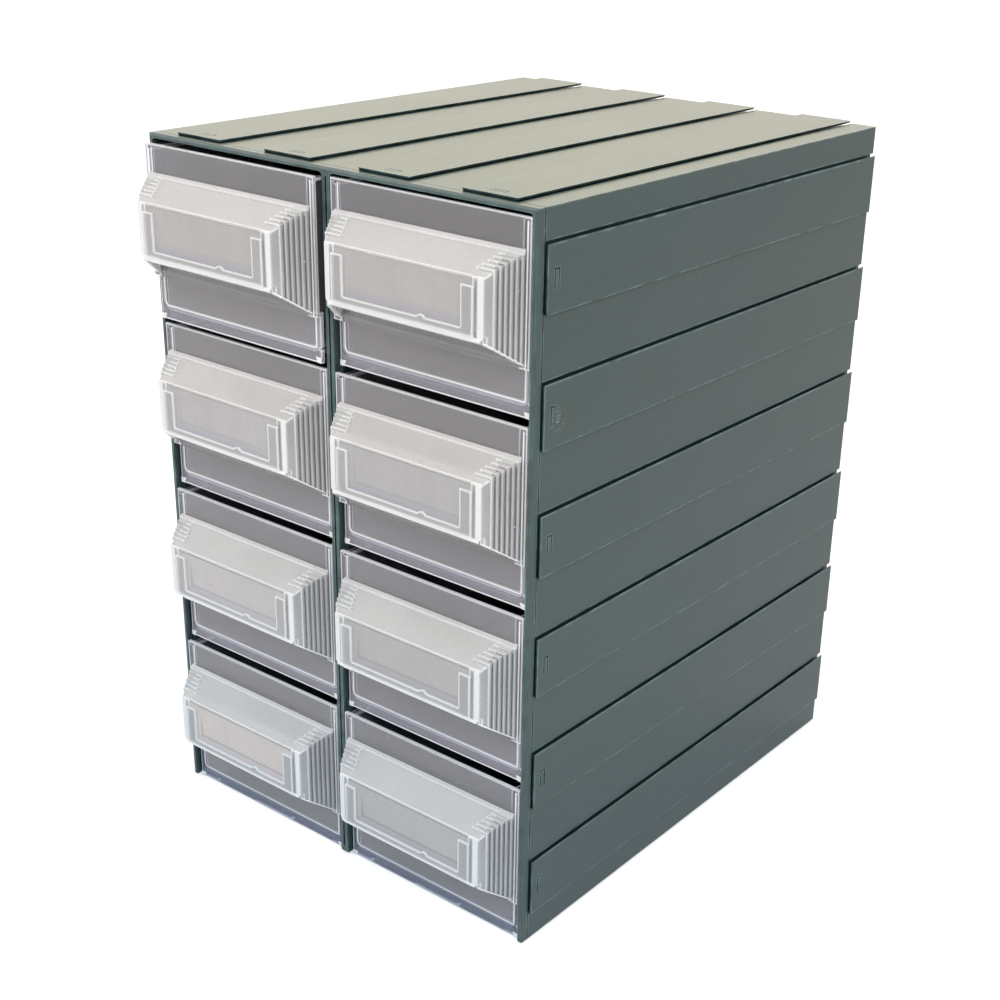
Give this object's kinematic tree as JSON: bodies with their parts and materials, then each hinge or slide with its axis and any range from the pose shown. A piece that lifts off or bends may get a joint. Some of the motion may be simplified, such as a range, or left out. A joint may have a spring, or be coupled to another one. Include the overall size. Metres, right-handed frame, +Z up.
{
  "type": "parts bin cabinet",
  "caption": "Small-parts cabinet: a green moulded housing with interlocking hook strips and two columns of clear drawers with hood handles and label holders.",
  "frame": {"origin": "under the middle of the whole cabinet as it stands at rest, on the surface it stands on", "axes": "+Z up, +X to the right seen from the front, +Y from the drawers' fronts to the back; the drawers open towards -Y"},
  "size_m": [0.2264, 0.2888, 0.3384],
  "materials": {
    "housing_plastic": "grey-green moulded polystyrene with a satin surface",
    "clear_plastic": "clear moulded polystyrene, smooth, slightly grey from use",
    "label_card": "blank light grey card"
  },
  "bodies": {
    "cabinet": {"housing": "housing_plastic", "centre_divider": "housing_plastic", "back_panel": "housing_plastic", "shelf_left_1": "housing_plastic", "shelf_left_2": "housing_plastic", "shelf_left_3": "housing_plastic", "shelf_right_1": "housing_plastic", "shelf_right_2": "housing_plastic", "shelf_right_3": "housing_plastic"},
    "drawer_left_1": {"drawer_left_1": "clear_plastic", "label_card_left_1": "label_card"},
    "drawer_left_2": {"drawer_left_2": "clear_plastic", "label_card_left_2": "label_card"},
    "drawer_left_3": {"drawer_left_3": "clear_plastic", "label_card_left_3": "label_card"},
    "drawer_left_4": {"drawer_left_4": "clear_plastic", "label_card_left_4": "label_card"},
    "drawer_right_1": {"drawer_right_1": "clear_plastic", "label_card_right_1": "label_card"},
    "drawer_right_2": {"drawer_right_2": "clear_plastic", "label_card_right_2": "label_card"},
    "drawer_right_3": {"drawer_right_3": "clear_plastic", "label_card_right_3": "label_card"},
    "drawer_right_4": {"drawer_right_4": "clear_plastic", "label_card_right_4": "label_card"}
  },
  "joints": [
    {"name": "drawer_left_1_slide", "type": "slide", "parent": "cabinet", "child": "drawer_left_1", "axis": [0, -1, 0], "range_m": [0, 0.2]},
    {"name": "drawer_left_2_slide", "type": "slide", "parent": "cabinet", "child": "drawer_left_2", "axis": [0, -1, 0], "range_m": [0, 0.2]},
    {"name": "drawer_left_3_slide", "type": "slide", "parent": "cabinet", "child": "drawer_left_3", "axis": [0, -1, 0], "range_m": [0, 0.2]},
    {"name": "drawer_left_4_slide", "type": "slide", "parent": "cabinet", "child": "drawer_left_4", "axis": [0, -1, 0], "range_m": [-0.0045, 0.1955]},
    {"name": "drawer_right_1_slide", "type": "slide", "parent": "cabinet", "child": "drawer_right_1", "axis": [0, -1, 0], "range_m": [0, 0.2]},
    {"name": "drawer_right_2_slide", "type": "slide", "parent": "cabinet", "child": "drawer_right_2", "axis": [0, -1, 0], "range_m": [0, 0.2]},
    {"name": "drawer_right_3_slide", "type": "slide", "parent": "cabinet", "child": "drawer_right_3", "axis": [0, -1, 0], "range_m": [0, 0.2]},
    {"name": "drawer_right_4_slide", "type": "slide", "parent": "cabinet", "child": "drawer_right_4", "axis": [0, -1, 0], "range_m": [0, 0.2]}
  ]
}
